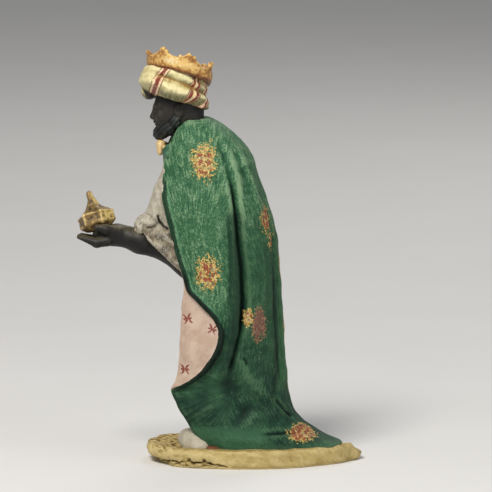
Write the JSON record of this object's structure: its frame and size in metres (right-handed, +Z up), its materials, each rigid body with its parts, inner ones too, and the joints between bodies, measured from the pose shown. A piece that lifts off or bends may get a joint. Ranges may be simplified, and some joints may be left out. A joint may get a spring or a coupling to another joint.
{
  "type": "nativity wise man figurine",
  "caption": "Standing robed and crowned wise man holding out a lidded vessel, in a long trailing cloak, on a rough clay slab.",
  "frame": {"origin": "centre of the slab's underside", "axes": "+Z up through the crown; the figure faces -X; its left side, with the vessel, faces -Y"},
  "size_m": [0.0543, 0.0274, 0.0797],
  "materials": {
    "painted_clay": "matte hand-painted fired clay",
    "sand_clay": "bare, rough and cracked"
  },
  "bodies": {
    "root": {"figure": "painted_clay", "base": "sand_clay"}
  },
  "joints": []
}
